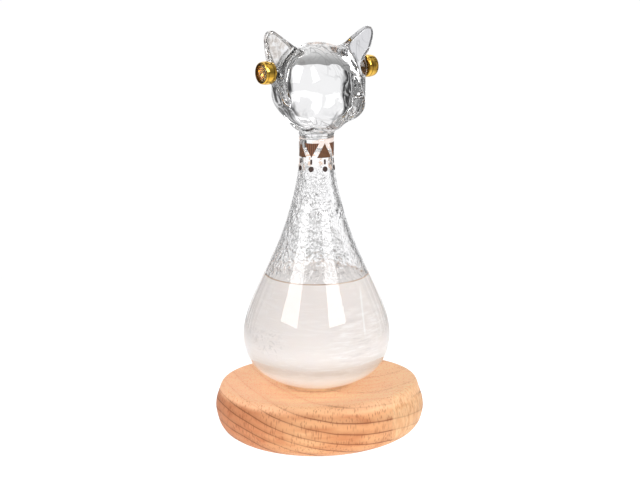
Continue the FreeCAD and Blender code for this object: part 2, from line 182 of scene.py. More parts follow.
def lathe(name, rings, segments, materials, slots, reshape=None):
    """Closed turned mesh of (radius, height) rings, where a radius of 0 is a pole.

    slots holds the material slot of each band. reshape(points, rows) may move the points.
    Faces look outwards where the outline runs up the outside.
    """
    points, rows = [], []
    angles = np.linspace(0, math.tau, segments, endpoint=False)
    for radius, height in rings:
        start = len(points)
        if radius < 1e-6:
            points.append((0.0, 0.0, height))
        else:
            points += zip(radius * np.cos(angles), radius * np.sin(angles),
                          np.full(segments, height))
        rows.append(list(range(start, len(points))))
    faces, face_slots = [], []
    for lower, upper, slot in zip(rows, rows[1:], slots):
        if len(lower) == 1 and len(upper) == 1:
            continue
        for j in range(segments):
            after = (j + 1) % segments
            if len(lower) == 1:
                faces.append((lower[0], upper[after], upper[j]))
            elif len(upper) == 1:
                faces.append((lower[j], lower[after], upper[0]))
            else:
                faces.append((lower[j], lower[after], upper[after], upper[j]))
            face_slots.append(slot)
    points = np.array(points)
    if reshape is not None:
        reshape(points, rows)
    ob = mesh_object(name, points, faces)
    set_slots(ob, materials, face_slots)
    return ob


# ================================================================ shader tools
class Net:
    """The shader nodes of a material or world. Inputs take a value or another node's output."""

    def __init__(self, owner):
        owner.use_nodes = True
        self.owner = owner
        self.tree = owner.node_tree
        for node in list(self.tree.nodes):
            if node.type.startswith("OUTPUT"):
                self.output = node
            else:
                self.tree.nodes.remove(node)

    def feed(self, socket, value):
        if isinstance(value, bpy.types.NodeSocket):
            self.tree.links.new(value, socket)
        else:
            socket.default_value = value

    def node(self, kind, inputs=None, **settings):
        node = self.tree.nodes.new("ShaderNode" + kind)
        for key, value in settings.items():
            setattr(node, key, value)
        for key, value in (inputs or {}).items():
            self.feed(node.inputs[key], value)
        return node

    def finish(self, shader):
        self.feed(self.output.inputs[0], shader.outputs[0])
        return self.owner

    def principled(self, inputs):
        return self.node("BsdfPrincipled", inputs)

    def place(self):
        return self.node("TexCoord").outputs["Object"]

    def split(self, vector):
        return list(self.node("SeparateXYZ", {0: vector}).outputs)

    def mapping(self, place, **inputs):
        named = {key.capitalize(): value for key, value in inputs.items()}
        return self.node("Mapping", {"Vector": place, **named}).outputs[0]

    def noise(self, place, output="Fac", **inputs):
        named = {key.capitalize(): value for key, value in inputs.items()}
        return self.node("TexNoise", {"Vector": place, **named}).outputs[output]

    def maths(self, operation, *values):
        return self.node("Math", dict(enumerate(values)), operation=operation).outputs[0]

    def vector(self, operation, *values, output="Vector"):
        node = self.node("VectorMath", dict(enumerate(values)), operation=operation)
        return node.outputs[output]

    def times(self, *values):
        return functools.reduce(functools.partial(self.maths, "MULTIPLY"), values)

    def greatest(self, values):
        return functools.reduce(functools.partial(self.maths, "MAXIMUM"), values)

    def scaled(self, value, factor, plus):
        return self.maths("MULTIPLY_ADD", value, factor, plus)

    def hypot(self, x, y):
        return self.maths("SQRT", self.maths("ADD", self.times(x, x), self.times(y, y)))

    def step(self, value, zero, one):
        """Smooth step from 0 where value is at zero to 1 where it is at one."""
        rising = zero < one
        return self.node("MapRange", {
            "Value": value, "From Min": min(zero, one), "From Max": max(zero, one),
            "To Min": 0.0 if rising else 1.0, "To Max": 1.0 if rising else 0.0,
        }, interpolation_type="SMOOTHSTEP").outputs[0]

    def ramp(self, source, stops, interpolation="LINEAR"):
        """Colour ramp of (position, colour) stops. A plain number is a grey."""
        node = self.node("ValToRGB", {0: source})
        node.color_ramp.interpolation = interpolation
        elements = node.color_ramp.elements
        while len(elements) > 1:
            elements.remove(elements[-1])
        for k, (position, colour) in enumerate(stops):
            element = elements.new(position) if k else elements[0]
            element.position = position
            element.color = colour if isinstance(colour, tuple) else (colour,) * 3 + (1,)
        return node.outputs[0]

    def line(self, value, centre, core, edge):
        """White where value is at centre, still bright core away from it, black at edge."""
        gap = self.maths("ABSOLUTE", self.maths("SUBTRACT", value, centre))
        return self.ramp(gap, [(0.0, 1), (core, 0.8), (edge, 0)])

    def mix(self, first, second, share, strength=None, blend="MIX"):
        """First turned into second by share, which strength weakens where given."""
        if strength is not None:
            share = self.times(share, strength)
        node = self.node("Mix", {}, data_type="RGBA", blend_type=blend)
        for key, value in ((0, share), (6, first), (7, second)):
            self.feed(node.inputs[key], value)
        return node.outputs[2]

    def bump(self, height, strength, distance):
        return self.node("Bump", {
            "Strength": strength, "Distance": distance, "Height": height}).outputs[0]


def material_net(name):
    return Net(bpy.data.materials.new(name))


def srgb(*levels):
    """Linear colour of 0-255 sRGB levels."""
    parts = [level / 255.0 for level in levels]
    return tuple(c / 12.92 if c <= 0.04045 else ((c + 0.055) / 1.055) ** 2.4
                 for c in parts) + (1.0,)


def across_head(net, x, y):
    """Distance sideways from the middle of the turned head."""
    return net.maths("ADD", net.times(x, math.cos(HEAD_TURN)), net.times(y, math.sin(HEAD_TURN)))


# ================================================================ glass materials
def glass(name, ior, bump=None, tint=None):
    """Clear glass. Lamps and diffuse light pass straight through, so that what it holds is lit."""
    net = material_net(name)
    surface = net.principled({"Base Color": (1, 1, 1, 1), "Roughness": 0.0, "IOR": ior,
                              "Transmission Weight": 1.0})
    if bump:
        net.feed(surface.inputs["Normal"], bump(net))
    if tint:
        net.feed(surface.inputs["Base Color"], tint(net))
    clear = net.node("BsdfTransparent")
    ray = net.node("LightPath").outputs
    passing = net.maths("MAXIMUM", ray["Is Shadow Ray"], ray["Is Diffuse Ray"])
    return net.finish(net.node("MixShader", {
        0: passing, 1: surface.outputs[0], 2: clear.outputs[0]}))


def clear_join():
    """The face where two pieces of glass are fused: nothing shows there."""
    net = material_net("fused_join")
    return net.finish(net.node("BsdfTransparent"))


def film_bump(net):
    """Small wrinkles of the condensed film on the inside of the upper glass."""
    place = net.place()
    warp = net.noise(place, "Color", scale=260.0, detail=1.0)
    warp_reach = (0.0022, 0.0022, 0.0022)
    warped = net.vector("MULTIPLY_ADD", warp, warp_reach, place)
    drops = net.ramp(net.noise(warped, scale=520.0, detail=1.5),
                     [(0.40, 0), (0.47, 0.85), (0.60, 1)], "EASE")
    return net.bump(drops, strength=0.30, distance=0.00022)


def film_lines(net):
    """Painted shade: the edges of the drops in the film show as hair-fine dark curls tinted into
    the glass, which dim what is behind them and stand in for the dark that the drop edges refract.
    """
    place = net.place()
    curl_shade = []
    for scale, distortion, width, shift in ((300.0, 1.4, 0.027, 0.0), (430.0, 1.1, 0.023, 0.37)):
        moved = net.mapping(place, location=(shift, shift * 2, shift * 3))
        pattern = net.noise(moved, scale=scale, detail=1.0, distortion=distortion)
        curl_shade.append(net.line(pattern, centre=0.52, core=width * 0.45, edge=width))
    # denser in some places than in others, none in the collar or at the right
    patch = net.ramp(net.noise(place, scale=85.0), [(0.32, 0.25), (0.55, 1)])
    x, y, z = net.split(place)
    below_collar = net.step(z, zero=0.1465, one=0.1405)
    above_liquid = net.step(z, zero=0.0895, one=0.0935)
    radius = net.maths("MAXIMUM", net.hypot(x, y), 0.0001)
    not_right = net.step(net.maths("DIVIDE", x, radius), zero=0.80, one=0.55)
    share = net.times(net.times(net.greatest(curl_shade), patch),
                      net.times(below_collar, above_liquid, not_right))
    return net.mix((1, 1, 1, 1), (0.17, 0.16, 0.16, 1), share)


def head_cords_and_painted_shade(net):
    """Hand-gathered glass: cords swirl near the rim of every form, the middle stays clear. The
    cords are painted shade: dark lines tinted in where the rims refract the dark round the glass.
    """
    place = net.place()
    x, y, z = net.split(place)
    cords_and_shade = []
    for scale, count, width, shift in ((46.0, 9.0, 0.10, 0.0), (70.0, 6.0, 0.09, 0.21)):
        moved = net.mapping(place, location=(shift, shift * 2, shift * 3), scale=(1.0, 1.0, 0.62))
        pattern = net.noise(moved, scale=scale, detail=1.0, distortion=0.9)
        bands = net.maths("FRACT", net.times(pattern, count))
        cords_and_shade.append(net.line(bands, centre=0.5, core=width * 0.5, edge=width * 1.3))
    # painted shade: the cords darken only where the surface turns away from the view, at the rims
    facing = net.node("LayerWeight", {"Blend": 0.5}).outputs["Facing"]
    rim = net.ramp(facing, [(0.16, 0), (0.36, 1)])
    # painted shade: the dark cord lines also show at the chin, from every side
    chin = net.times(net.step(z, zero=0.1700, one=0.1640), 0.6)
    seen = net.maths("MAXIMUM", rim, chin)
    colour = net.mix((0.81, 0.81, 0.81, 1), (0.10, 0.10, 0.105, 1),
                     net.times(net.greatest(cords_and_shade), seen), strength=0.9)

    across = across_head(net, x, y)
    # painted shade: the ear on the +X side is tinted a little greyer, standing in for the grey it
    # refracts
    grey_ear_shade = net.times(net.step(across, zero=0.006, one=0.014),
                         net.step(z, zero=0.190, one=0.198))
    colour = net.mix(colour, (0.78, 0.78, 0.80, 1), grey_ear_shade, strength=0.9, blend="MULTIPLY")
    # painted reflection: the ear on the -X side has brown blots, standing in for the warm colours
    # it refracts
    brown_ear_reflection = net.times(net.step(across, zero=-0.010, one=-0.016),
                          net.step(z, zero=0.192, one=0.199))
    reflected_blots = net.noise(place, scale=190.0, detail=3.0, distortion=1.6)
    reflected_brown = net.ramp(reflected_blots, [(0.44, 1), (0.52, (0.80, 0.74, 0.68, 1)),
                             (0.58, (0.42, 0.36, 0.31, 1)), (0.64, (0.93, 0.88, 0.85, 1))])
    return net.mix(colour, reflected_brown, brown_ear_reflection, strength=0.75, blend="MULTIPLY")


# ================================================================ liquid materials
def milk_colour(net, place, x, y, z):
    """Colour of the milk. x, y and z are in mm."""
    # painted shade and painted light: darker and creamier a little above the bottom, where light
    # from the floor and the wood is strong, and whiter at the very bottom, which the wood shades; a
    # little greyer towards the top
    colour = net.mix(srgb(212, 199, 187), srgb(242, 236, 230), net.step(z, zero=46.5, one=41.0))
    colour = net.mix(colour, srgb(237, 230, 226), net.step(z, zero=44.0, one=54.0))
    colour = net.mix(colour, srgb(235, 228, 224), net.step(z, zero=50.0, one=74.0))
    clouds = net.ramp(net.noise(place, scale=45.0, detail=3.0), [(0.42, 0), (0.68, 0.4)])
    colour = net.mix(colour, srgb(229, 222, 219), clouds)

    # level veils, strongest at the front right
    flattened = net.mapping(place, scale=(1.0, 1.0, 7.0), rotation=(0.0, 0.10, 0.0))
    veil = net.noise(flattened, scale=95.0, detail=5.0, roughness=0.7)
    front = net.step(y, zero=-2.0, one=-8.0)
    right = net.times(
        net.step(x, zero=4.0, one=14.0), net.step(x, zero=34.0, one=28.0),
        net.step(z, zero=49.0, one=54.0), net.step(z, zero=84.0, one=66.0), front)
    pale = net.ramp(veil, [(0.50, 0), (0.60, 1)])
    dark = net.ramp(veil, [(0.36, 1), (0.44, 0)])
    pale_strength = net.maths("ADD", net.times(right, 0.30), 0.16)
    colour = net.mix(colour, srgb(255, 253, 252), pale, strength=pale_strength)
    colour = net.mix(colour, srgb(206, 199, 197), net.times(dark, right), strength=0.35)

    # small grey marks low on the left
    spots = net.noise(place, scale=330.0, detail=3.0, distortion=1.5)
    marks = net.times(
        net.ramp(spots, [(0.52, 0), (0.60, 1)]),
        net.step(x, zero=-33.0, one=-27.0), net.step(x, zero=-14.0, one=-20.0),
        net.step(z, zero=52.0, one=57.0), net.step(z, zero=68.0, one=62.0), front)
    colour = net.mix(colour, srgb(200, 194, 192), marks, strength=0.42)

    # one standing needle of crystal on the right, leaning inwards as it rises
    middle = net.scaled(z, factor=-0.12, plus=31.1)
    off = net.maths("ABSOLUTE", net.maths("SUBTRACT", x, middle))
    needle = net.times(net.step(off, zero=0.6, one=0.12), net.step(z, zero=62.0, one=66.0),
                       net.step(z, zero=87.0, one=82.0), front)
    return net.mix(colour, srgb(255, 255, 255), needle, strength=0.5)


def milky():
    net = material_net("storm_liquid_milk")
    place = net.place()
    x, y, z = (net.times(part, 1000.0) for part in net.split(place))
    colour = milk_colour(net, place, x, y, z)
    # painted light: the milk glows a little all over and more at its bottom, standing in for light
    # gathered inside it, so that its bottom doesn't go dark
    under = net.step(z, zero=46.0, one=40.5)
    return net.finish(net.principled({
        "Base Color": colour,
        "Roughness": 0.4,
        "IOR": 1.02,
        "Subsurface Weight": 0.5,
        "Subsurface Radius": (1.0, 0.85, 0.7),
        "Subsurface Scale": 0.005,
        "Emission Color": net.mix(colour, srgb(236, 234, 230), under),
        "Emission Strength": net.scaled(under, factor=0.08, plus=0.05)}))


def milky_edge():
    """Thin line where the liquid climbs the glass, with a painted reflection: it is coloured with
    the warm colour of the wood.
    """
    net = material_net("storm_liquid_edge")
    patches = net.noise(net.place(), scale=60.0, detail=3.0)
    colour = net.ramp(patches, [(0.35, srgb(138, 110, 90)), (0.5, srgb(204, 174, 150)),
                                (0.68, srgb(238, 214, 196))])
    return net.finish(net.principled({"Base Color": colour, "Roughness": 0.2}))


# ================================================================ wood
# Distances of the growth rings from the pith, mm
RING_RADII = [45.0, 53.0, 60.5, 67.5, 74.5, 81.8, 90.0, 95.55, 100.75, 104.6, 108.5, 112.2,
              116.0, 119.6, 123.2, 126.6, 130.0]
# Darkness of late wood along one ring, (part of the ring, grey)
LATE_WOOD = [(0.0, 1), (0.03, 0.75), (0.07, 0.2), (0.2, 0), (0.55, 0), (0.88, 0.22),
             (0.955, 0.42), (0.98, 0.9), (1.0, 1)]
# Layers of ray ticks: noise scale, share of cells, tick radius, squash along Z
RAY_TICKS = [(520.0, 0.90, 0.13, 0.13), (800.0, 0.92, 0.17, 0.17), (1150.0, 0.88, 0.21, 0.17)]


def growth_rings(net, place, wander):
    """Ring number, and darkness of late wood within the ring."""
    centred = net.vector("SUBTRACT", wander, (0.5, 0.5, 0.5))
    wander_reach = (0.0022, 0.0022, 0.0022)
    x, y, z = net.split(net.vector("MULTIPLY_ADD", centred, wander_reach, place))
    # the pith lies above the block and slopes down towards the back
    pith_x, pith_z, pith_slope = 0.0197, 0.10047, 0.308
    x = net.maths("SUBTRACT", x, pith_x)
    z = net.maths("SUBTRACT", z, pith_z)
    z = net.maths("ADD", z, net.times(y, pith_slope))
    distance = net.times(net.hypot(x, z), 1000.0)
    first, span, last = RING_RADII[0], RING_RADII[-1] - RING_RADII[0], len(RING_RADII) - 1.0
    stops = [((radius - first) / span, k / last) for k, radius in enumerate(RING_RADII)]
    along = net.maths("DIVIDE", net.maths("SUBTRACT", distance, first), span)
    number = net.times(net.ramp(along, stops), last)
    late = net.ramp(net.maths("FRACT", number), LATE_WOOD)
    weaker = net.ramp(net.noise(place, scale=42.0), [(0.30, 0.5), (0.55, 1)])
    return number, net.times(late, weaker)


def ray_ticks(net, place):
    """Fine rays: short dark ticks across the rings."""
    layers = []
    for scale, share, radius, squash in RAY_TICKS:
        moved = net.mapping(place, scale=(1.0, 1.0, squash), location=(scale * 0.001, 0, 0))
        cells = net.node("TexVoronoi", {"Scale": scale, "Vector": moved}).outputs
        tick = net.ramp(cells["Distance"], [(0.0, 1), (radius, 0.7), (radius * 1.9, 0)])
        pick = net.node("SeparateColor", {0: cells["Color"]}).outputs[0]
        chosen = net.ramp(pick, [(1 - share, 0), (1 - share + 0.3, 1)])
        layers.append(net.times(tick, chosen))
    return net.greatest(layers)


def wood():
    net = material_net("wood_beech")
    place = net.place()
    wander = net.node("TexNoise", {"Scale": 38.0, "Detail": 2.0, "Vector": place}).outputs
    number, late = growth_rings(net, place, wander["Color"])
    ring_tone = net.node("TexWhiteNoise", {"W": net.maths("FLOOR", number)},
                         noise_dimensions="1D").outputs["Value"]
    x, y, z = net.split(place)

    # the right-hand end shows paler end grain past a short seam
    wobble = net.scaled(wander["Fac"], factor=0.003, plus=0.0)
    seam = net.maths("SUBTRACT", net.maths("ADD", x, wobble), 0.0015)
    end = net.times(net.step(seam, zero=0.0375, one=0.0383),
                    net.step(y, zero=-0.004, one=-0.012))
    late = net.times(late, net.scaled(end, factor=-0.62, plus=1.0))

    streaks = net.noise(net.mapping(place, scale=(0.12, 1.0, 1.0)), scale=260.0, detail=5.0)
    broad = net.noise(place, scale=30.0, detail=2.0)
    colour = net.mix(srgb(253, 200, 148), srgb(244, 178, 127),
                     net.ramp(broad, [(0.38, 0), (0.62, 1)]))
    colour = net.mix(colour, srgb(240, 170, 118), ring_tone, strength=0.45)
    colour = net.mix(colour, srgb(218, 142, 94), net.ramp(streaks, [(0.45, 0), (0.72, 0.85)]))
    # the left-hand part is redder and darker, the lower right paler
    left = net.step(x, zero=0.004, one=-0.046)
    colour = net.mix(colour, srgb(206, 122, 80), left, strength=0.70)
    low_right = net.times(net.step(x, zero=0.026, one=0.046),
                          net.step(z, zero=0.0285, one=0.026))
    colour = net.mix(colour, srgb(255, 214, 168), low_right, strength=0.45)
    # painted shade: darker towards the underside
    underside_shade = net.step(z, zero=0.013, one=0.001)
    colour = net.mix(colour, srgb(196, 120, 78), underside_shade, strength=0.42)
    # painted light: the floor of the dish is paler, with fainter rings, standing in for the light
    # that the glass lets down into it
    dish = net.times(net.step(z, zero=0.0270, one=0.0300),
                     net.step(y, zero=-0.050, one=-0.038))
    colour = net.mix(colour, srgb(255, 214, 174), dish, strength=0.45)
    late = net.times(late, net.maths("SUBTRACT", 1.0, net.times(dish, 0.72)))
    ticks = ray_ticks(net, place)
    colour = net.mix(colour, srgb(160, 90, 56), ticks, strength=0.62)
    # end grain: vertical pale strokes
    strokes = net.noise(net.mapping(place, scale=(1.0, 1.0, 0.14)), scale=700.0, detail=3.0)
    pale = net.mix(srgb(222, 158, 108), srgb(255, 216, 166),
                   net.ramp(strokes, [(0.38, 0), (0.60, 1)]))
    colour = net.mix(colour, pale, end, strength=0.38)
    # little light gets in under the round bottom of the glass
    reach = net.hypot(x, y)
    under = net.times(net.step(reach, zero=0.0185, one=0.0150),
                      net.step(reach, zero=0.0110, one=0.0150), dish)
    colour = net.mix(colour, srgb(150, 96, 64), under, strength=0.14)
    colour = net.mix(colour, srgb(140, 78, 46), late, strength=0.95)

    # light bounced off the wood is paler than the wood, as it is on a bright white table
    bounced = net.node("LightPath").outputs["Is Diffuse Ray"]
    # painted light: the floor of the dish glows, standing in for the light that the glass throws
    # down into it
    lift = net.scaled(x, factor=-2.4, plus=0.23)
    unshaded = net.maths("SUBTRACT", 1.0, net.times(under, 0.6))
    dents = net.maths("ADD", net.times(late, 0.5), net.times(ticks, 0.6))
    return net.finish(net.principled({
        "Base Color": net.mix(colour, (0.86, 0.82, 0.78, 1), bounced, strength=0.85),
        "Emission Color": net.mix(colour, srgb(255, 214, 166), share=0.25),
        "Emission Strength": net.times(dish, lift, unshaded),
        "Roughness": 0.55,
        "IOR": 1.4,
        "Specular IOR Level": 0.3,
        "Normal": net.bump(net.maths("SUBTRACT", 1.0, dents), strength=0.3, distance=0.0004)}))


# ================================================================ other materials
def mottled(name, first, second, surface, scale=400.0, detail=4.0):
    """Two colours mixed by noise. surface holds the other inputs of the shader."""
    net = material_net(name)
    colour = net.mix(first, second, net.noise(net.place(), scale=scale, detail=detail))
    return net.finish(net.principled({"Base Color": colour, **surface}))


def felt():
    net = material_net("felt_pad")
    fibres = net.noise(net.place(), scale=900.0)
    return net.finish(net.principled({
        "Base Color": net.mix((0.02, 0.018, 0.016, 1), (0.07, 0.065, 0.06, 1), fibres),
        "Roughness": 0.95,
        "Normal": net.bump(fibres, strength=0.6, distance=0.0003)}))


# Painted shade of the turned grooves, dark bands round the cup, (part of the way out along the cup,
# grey)
CUP_GROOVE_SHADE = [(0.0, 0.9), (0.08, 0.5), (0.16, 0), (0.27, 0), (0.33, 0.85), (0.39, 0),
               (0.74, 0), (0.80, 0.75), (0.86, 0)]


def gold():
    """Gold with painted shade in the grooves turned round the cup."""
    net = material_net("gold_plate")
    place = net.place()
    colour = net.mix(srgb(255, 216, 106), srgb(240, 180, 60), net.noise(place, scale=300.0))
    x, y, z = net.split(place)
    outwards = net.maths("ABSOLUTE", across_head(net, x, y))
    cup_start, cup_span = 0.028, 0.0065
    along = net.maths("DIVIDE", net.maths("SUBTRACT", outwards, cup_start), cup_span)
    # painted shade: the grooves are dark bands in the colour
    colour = net.mix(colour, srgb(96, 52, 14), net.ramp(along, CUP_GROOVE_SHADE))
    return net.finish(net.principled({
        "Base Color": colour, "Metallic": 1.0, "Roughness": 0.09}))


def level_hatch(net, place, x, y, z):
    pitch = 0.00062
    return net.maths("SINE", net.times(z, math.tau / pitch))


def upright_hatch(net, place, x, y, z):
    pitch = math.radians(6.6)
    return net.maths("SINE", net.times(net.maths("ARCTAN2", y, x), math.tau / pitch))


def speckle(net, place, x, y, z):
    return net.maths("SUBTRACT", net.noise(place, scale=900.0), 0.5)


def printed(name, pattern, dark=srgb(58, 42, 38), light=srgb(84, 62, 54)):
    """Print on the collar, with a pattern that runs between dark and light."""
    net = material_net(name)
    place = net.place()
    x, y, z = net.split(place)
    wave = net.scaled(pattern(net, place, x, y, z), factor=0.5, plus=0.5)
    colour = net.mix(dark, light, wave)
    # the side printed against the glass is pale
    facing = net.node("NewGeometry").outputs
    normal = net.node("VectorTransform", {0: facing["True Normal"]}, vector_type="NORMAL",
                      convert_from="WORLD", convert_to="OBJECT").outputs[0]
    outwards = net.vector("MULTIPLY", place, (1.0, 1.0, 0.0))
    turned_out = net.vector("DOT_PRODUCT", normal, outwards, output="Value")
    flip = net.maths("SUBTRACT", 1.0, net.times(facing["Backfacing"], 2.0))
    inside = net.maths("LESS_THAN", net.times(turned_out, flip), 0.0)
    height = net.node("MapRange", {
        "Value": z, "From Min": 0.1512, "From Max": 0.1532}).outputs[0]
    pale = net.mix(srgb(255, 226, 205), srgb(255, 244, 238), height)
    return net.finish(net.principled({
        "Base Color": net.mix(colour, pale, inside), "Roughness": 0.42, "Metallic": 0.15}))


# ================================================================ bottle and what it holds
def film(points):
    """Dry inner wall points moved inwards by beads and runs of condensed film."""
    right = points[:, 0] / np.maximum(np.hypot(points[:, 0], points[:, 1]), 1e-3)
    # beads, thickness in mm
    bead_size = 3.1
    cells = points / bead_size
    warp = np.stack([noise3(cells * 0.7 + offset, seed)
                     for offset, seed in ((11.3, 5), (37.1, 6), (71.9, 7))], 1)
    beads = noise3(cells + warp * 1.1, 8) + 0.45 * noise3(cells * 2.3 + warp, 9)
    thick = 0.20 * smooth01(beads, -0.05, 0.12) + 0.06 * smooth01(beads, 0.2, 0.6)
    # faint upright runs
    runs = layered_noise(points * [0.9, 0.9, 0.22], octaves=2, seed=21)
    thick = thick + 0.05 * smooth01(runs, 0.1, 0.5)
    # hardly any film at the right
    thick = thick * (1 - 0.93 * smooth01(right, 0.55, 0.80))
    # thick drips at the left
    drips = layered_noise(points * [0.5, 0.5, 0.16] + 5.0, octaves=2, seed=33)
    thick = thick + 0.55 * smooth01(drips, 0.12, 0.42) * smooth01(-right, 0.55, 0.85)
    # one lumpy band at the right
    band_height, band_spread = 121.0, 3.0
    band = np.exp(-((points[:, 2] - band_height) / band_spread) ** 2)
    lump = band * smooth01(right, 0.5, 0.85)
    thick = thick + lump * (0.35 + 0.3 * noise3(points / 1.6, 51))
    # fades out at the liquid and in the collar, thinner where the bore is narrow
    fade = smooth01(points[:, 2], LEVEL + 1.0, LEVEL + 4.0)
    fade = fade * (1 - smooth01(points[:, 2], 142.0, 147.0))
    radius = np.hypot(points[:, 0], points[:, 1])
    moved = thick * fade * np.clip(radius / 8.0, 0.35, 1.0)
    points[:, :2] *= np.clip(1 - moved / np.maximum(radius, 1e-3), 0.2, 1)[:, None]
    return points


def build_vessel(wet, dry, join):
    """The bottle up to the neck: outside, fused top, then down the inside."""
    outer = evenly(spline(SHELL, 3000), 110)
    wet_down = evenly(wet, 44)[::-1]
    # the topmost dry point is the pole in the middle of the bore, already a ring
    dry_down = evenly(dry, 200)[::-1][1:]
    top = [(4.4, NECK_TOP), (0.0, NECK_TOP), (0.0, BORE_TOP)]
    rings = [*outer, *top, *dry_down, *wet_down, SHELL[0]]
    polished, filmed, wetted, joined = range(4)
    slots = ([polished] * (len(outer) - 1) + [joined] * 2 + [polished]
             + [filmed] * (len(dry_down) + 1) + [wetted] * (len(wet_down) - 1) + [polished])
    first_dry = len(outer) + len(top)

    def add_film(points, rows):
        dry_points = np.concatenate(rows[first_dry:first_dry + len(dry_down)])
        points[dry_points] = film(points[dry_points])

    materials = [glass("clear_glass_polished", GLASS_IOR),
                 glass("clear_glass_film", GLASS_IOR, bump=film_bump, tint=film_lines),
                 glass("clear_glass_wet", GLASS_IOR / LIQUID_IOR), join]
    vessel = lathe("vessel_glass", rings, 320, materials, slots, add_film)
    assign(vessel, "clear_glass", "bottle", "glass_vessel")


# Distances in from the edge of the liquid at which its surface has a ring, mm
MENISCUS = (0.10, 0.22, 0.38, 0.6, 0.9, 1.3, 1.9, 2.8, 4.0, 6.5, 10.0, 15.0)


def build_liquid(wet):
    """Liquid just inside the wall, with a raised edge where it wets the glass."""
    inset, meniscus_width = 0.02, 0.55
    wall = evenly(wet, 150)
    tangents = np.gradient(wall, axis=0)
    normals = np.stack([-tangents[:, 1], tangents[:, 0]], 1)
    normals /= np.linalg.norm(normals, axis=1)[:, None]
    wall = wall + normals * inset
    edge = wall[-1, 0]
    surface = [(edge - d, LEVEL + CLIMB * math.exp(-d / meniscus_width)) for d in MENISCUS]
    side = [(0.0, wall[0, 1]), *wall]
    body, top, rim = range(3)
    slots = [rim if height > LEVEL + 0.15 else body for radius, height in side[:-1]]
    slots += [rim] * 3 + [top] * (len(MENISCUS) - 2)
    materials = [
        milky(),
        mottled("storm_liquid_surface", srgb(226, 219, 217), srgb(240, 233, 228),
                {"Roughness": 0.03, "IOR": LIQUID_IOR}, scale=70.0, detail=2.0),
        milky_edge()]
    liquid = lathe("storm_liquid_body", [*side, *surface, (0.0, LEVEL)], 192, materials, slots)
    assign(liquid, "liquid", "contents", "storm_liquid", "settled_crystals")


# ================================================================ solids from distance fields
def smin(first, second, blend):
    """Union of two fields, rounded over a width of blend."""
    share = np.clip(0.5 + 0.5 * (second - first) / blend, 0, 1)
    return second + (first - second) * share - blend * share * (1 - share)


def smax(first, second, blend):
    """Intersection of two fields, rounded over a width of blend."""
    return -smin(-first, -second, blend)


def ellipsoid(grid, centre, radii):
    offsets = [axis - middle for axis, middle in zip(grid, centre)]
    near = np.sqrt(sum((d / radius) ** 2 for d, radius in zip(offsets, radii)))
    slope = np.sqrt(sum((d / radius ** 2) ** 2 for d, radius in zip(offsets, radii))) + 1e-9
    return near * (near - 1) / slope


def solid(name, field_of, low, high, step, relax, floor):
    """Smoothed surface of a field sampled from low to high, cut off flat below floor."""
    low, high = np.array(low), np.array(high)
    counts = np.ceil((high - low) / step).astype(int)
    axes = [low[i] + step * np.arange(counts[i]) for i in range(3)]
    field = field_of(np.meshgrid(*axes, indexing="ij"))
    volume = openvdb.FloatGrid(background=3 * step)
    volume.copyFromArray(np.ascontiguousarray(field.astype(np.float32)))
    points, quads = volume.convertToQuads(isovalue=0.0)
    ob = mesh_object(name, np.array(points, float) * step + low, quads)
    with edited(ob.data) as bm:
        bmesh.ops.recalc_face_normals(bm, faces=bm.faces)
        for _ in range(relax):
            bmesh.ops.smooth_vert(bm, verts=bm.verts, factor=0.5,
                                  use_axis_x=True, use_axis_y=True, use_axis_z=True)
    with edited(ob.data) as bm:
        cut = bmesh.ops.bisect_plane(
            bm, geom=bm.verts[:] + bm.edges[:] + bm.faces[:], plane_co=(0, 0, floor * MM),
            plane_no=(0, 0, -1), clear_outer=True)
        edges = [e for e in cut["geom_cut"] if isinstance(e, bmesh.types.BMEdge)]
        bmesh.ops.edgeloop_fill(bm, edges=edges)
        bmesh.ops.recalc_face_normals(bm, faces=bm.faces)
    return ob


# ================================================================ cat head with its ears
# Outline of the skull before it is flattened, (radius, height)
SKULL = [
    (8.75, 150.0), (8.7, 156.0), (NECK_RADIUS, NECK_TOP), (9.6, 160.6), (11.6, 163.3),
    (14.2, 166.3), (16.7, 169.2), (19.2, 172.2), (21.2, 175.3), (22.2, 178.5), (22.4, 182.0),
    (22.2, 185.5), (21.6, 189.0), (20.2, 193.0), (17.9, 196.8), (14.4, 200.4), (10.0, 203.2),
    (5.0, 204.8), (0.0, 205.3)]


def ear_field(grid, side):
    """One ear, curved from side to side. side is -1 or 1, along X before the head is turned."""
    x, y, z = grid
    foot_x, foot_z, ear_y = 19.2, 193.6, -1.9
    lean = math.radians(34.0) * side
    from_x, from_z = x - side * foot_x, z - foot_z
    across = from_x * math.cos(lean) - from_z * math.sin(lean)
    up = from_x * math.sin(lean) + from_z * math.cos(lean)
    height = np.clip((up + 12.0) / 35.5, 0, 1)
    half_width = 14.4 * (1 - height) ** 0.60 * (1 - 0.1 * height) + 0.9
    half_thickness = 5.2 - 2.3 * height
    if side > 0:
        # shallow hollow in the outer edge
        half_width = half_width - 3.0 * np.exp(-((up - 6.0) / 5.5) ** 2) * (across > 0)
    # the middle of the ear lies further back than its edges
    bow = 3.0 * (1 - (across / 11.0) ** 2) * (1 - height) ** 0.6 - 0.6 - 1.2 * height
    ear = smax(np.abs(across) - half_width, np.abs(y - ear_y - bow) - half_thickness, 3.2)
    ear = smax(ear, up - 23.2, 3.0)
    ear = smax(ear, -up - 13.0, 3.0)
    return ear + 0.9


